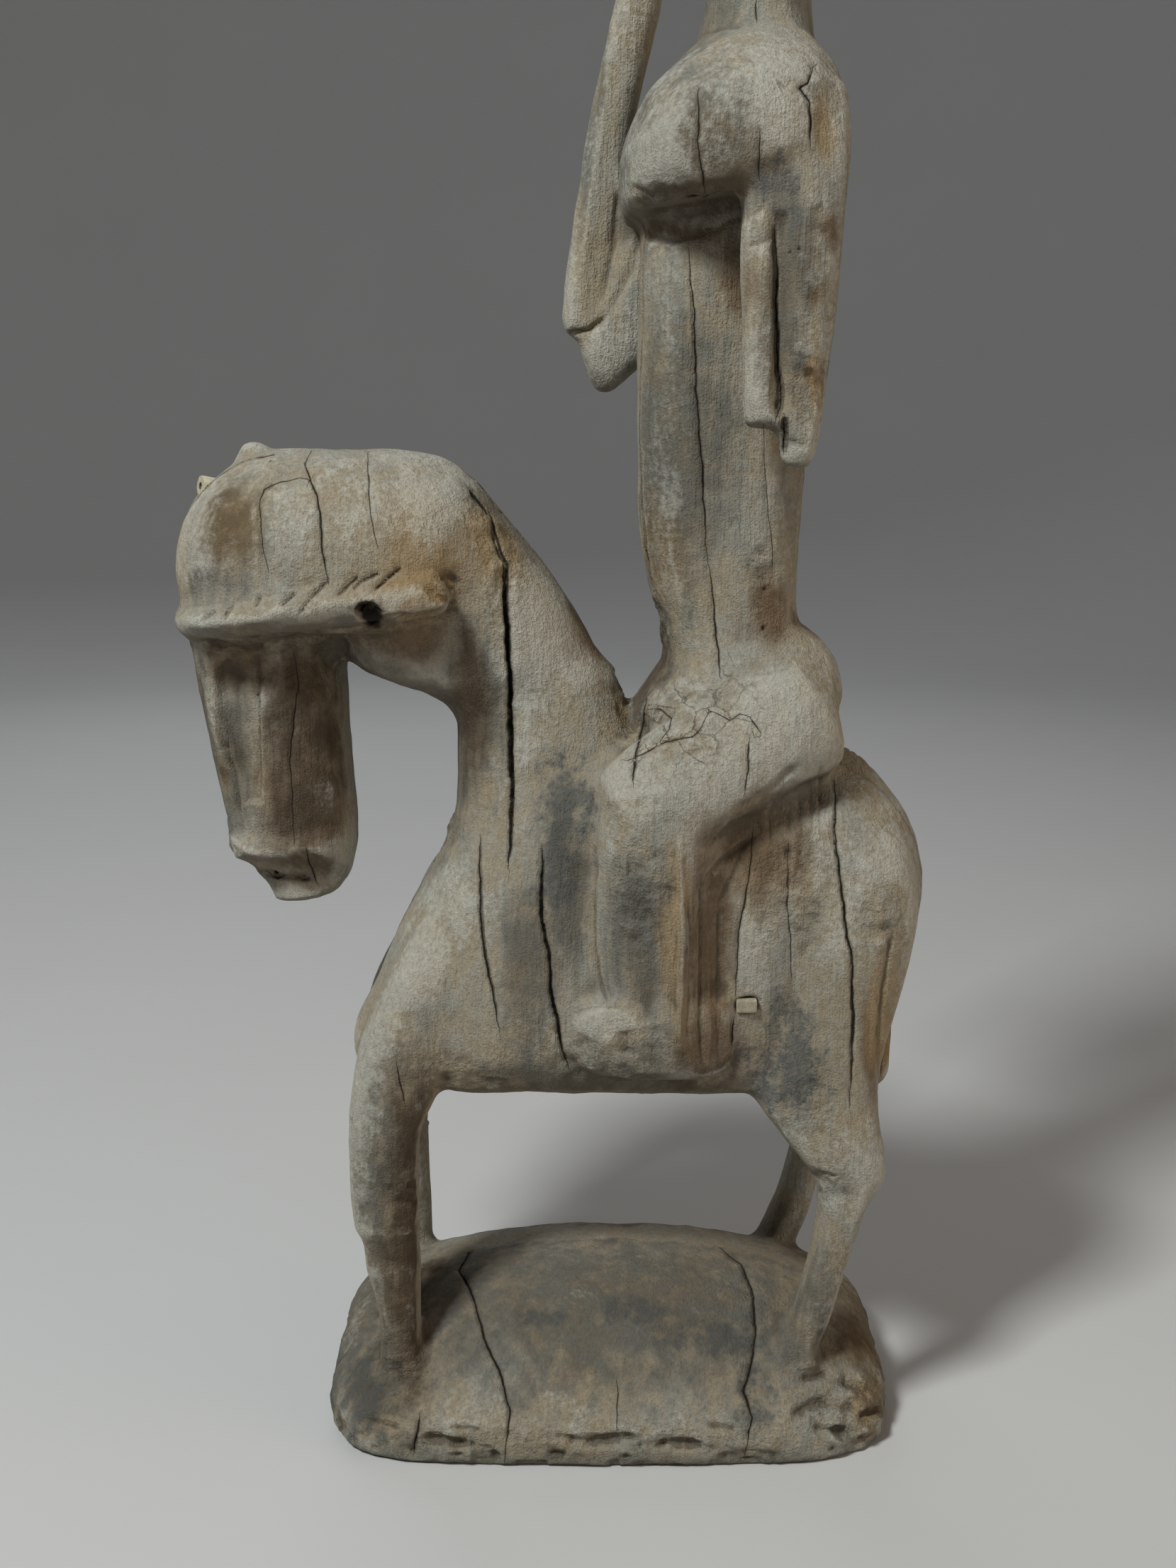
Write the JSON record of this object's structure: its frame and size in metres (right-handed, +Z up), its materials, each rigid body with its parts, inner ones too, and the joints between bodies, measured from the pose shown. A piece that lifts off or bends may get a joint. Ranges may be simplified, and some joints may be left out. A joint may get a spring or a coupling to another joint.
{
  "type": "equestrian figure",
  "caption": "Weathered wooden rider on a standing horse with a lowered head, carved with its low domed base from one log; one arm hangs, the other is raised.",
  "frame": {"origin": "middle of the base's flat underside", "axes": "+Z up; the horse and its rider look towards -X, and their left side faces -Y"},
  "size_m": [0.3113, 0.1478, 0.7049],
  "materials": {
    "weathered_wood": "dry, cracked and silvered, with ochre and dark grey patches",
    "pale_peg": "smooth and pale, like bone",
    "peg_wood": "dry"
  },
  "bodies": {
    "root": {"carved_figure": "weathered_wood", "forehead_peg": "pale_peg", "flank_peg": "peg_wood"}
  },
  "joints": []
}
